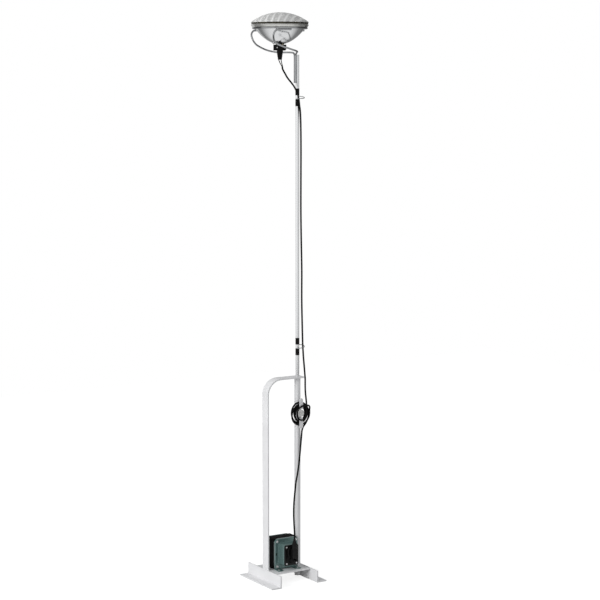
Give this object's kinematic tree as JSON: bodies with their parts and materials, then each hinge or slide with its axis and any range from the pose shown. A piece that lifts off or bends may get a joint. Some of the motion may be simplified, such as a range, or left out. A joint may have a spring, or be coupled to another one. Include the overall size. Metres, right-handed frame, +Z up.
{
  "type": "telescopic floor lamp",
  "caption": "Height-adjustable uplighter: a reflector lamp in a wire cradle on a hexagonal stem that slides in a tube and is clamped by a knob, on a steel base with transformer and handle.",
  "frame": {"origin": "centre of the base on the floor", "axes": "+Z up along the stem, +X from the handle strip to the stem, feet along Y with the socket panel facing -Y"},
  "size_m": [0.2, 0.203, 1.7815],
  "materials": {
    "white_paint": "satin powder coat, off-white",
    "clear_coat": "light grey satin paint",
    "stem_nickel": "drawn hexagonal bar, nickel plated",
    "wire_chrome": "polished nickel-chrome wire",
    "zinc": "bright zinc plate",
    "mirror_glass": "aluminised pressed glass",
    "lens_glass": "pressed, with slanted prism bars",
    "burner_glass": "clear",
    "brass": "bare",
    "black_plastic": "moulded, fine texture",
    "black_panel": "moulded, semi-gloss",
    "grey_plastic": "moulded nylon",
    "sleeve": "heat-shrunk tube",
    "hammer_green": "hammertone enamel, grey-green",
    "core_black": "varnished laminations",
    "copper": "enamelled copper wire",
    "cord_jacket": "smooth round jacket"
  },
  "bodies": {
    "frame_body": {"foot_left": "white_paint", "foot_right": "white_paint", "base_tray": "white_paint", "handle_strip": "white_paint", "outer_tube": "clear_coat", "tube_end_plug": "black_plastic", "guide_bush": "grey_plastic", "cord_cleat": "white_paint", "clamp_nut": "zinc", "transformer_core": "core_black", "winding_bobbin": "grey_plastic", "primary_winding": "copper", "secondary_winding": "copper", "front_bell": "hammer_green", "rear_bell": "hammer_green", "core_bolts": "zinc", "core_nuts": "zinc", "tray_screws": "zinc", "tray_nuts": "zinc", "socket_panel": "black_panel", "panel_screws": "zinc", "outlet_contacts": "brass", "fuse_holder": "black_plastic", "mains_gland": "black_plastic", "plug_body": "black_plastic", "plug_pins": "brass", "cord_front_turn": "cord_jacket", "cord_coil": "cord_jacket", "cord_lower": "cord_jacket"},
    "stem_body": {"stem_tube": "stem_nickel", "stem_slider": "black_plastic", "guide_upper": "wire_chrome", "guide_lower": "wire_chrome", "guide_wraps_upper": "sleeve", "guide_wraps_lower": "sleeve", "cradle_ring": "wire_chrome", "cradle_arm_front": "wire_chrome", "cradle_arm_rear": "wire_chrome", "lamp_stop": "wire_chrome", "lamp_reflector": "mirror_glass", "lamp_lens": "lens_glass", "lamp_burner": "burner_glass", "lamp_terminals": "brass", "lamp_connector": "black_plastic", "lamp_leads": "cord_jacket", "cord_head": "cord_jacket", "cord_crossing": "cord_jacket"},
    "clamp_body": {"clamp_screw": "zinc", "clamp_knob": "grey_plastic"},
    "fuse_body": {"fuse_cap": "black_plastic", "fuse_link": "burner_glass"}
  },
  "joints": [
    {"name": "stem_slide", "type": "slide", "parent": "frame_body", "child": "stem_body", "axis": [0, 0, 1], "range_m": [-0.065, 0.17], "deforming": ["cord_crossing"]},
    {"name": "clamp_turn", "type": "hinge", "parent": "frame_body", "child": "clamp_body", "pos_m": [0.0541, 0, 0.531], "axis": [0, -1, 0], "range_deg": [0, 360]},
    {"name": "fuse_turn", "type": "hinge", "parent": "frame_body", "child": "fuse_body", "pos_m": [0, 0, 0.0705], "axis": [0, -1, 0], "range_deg": [0, 90]}
  ]
}
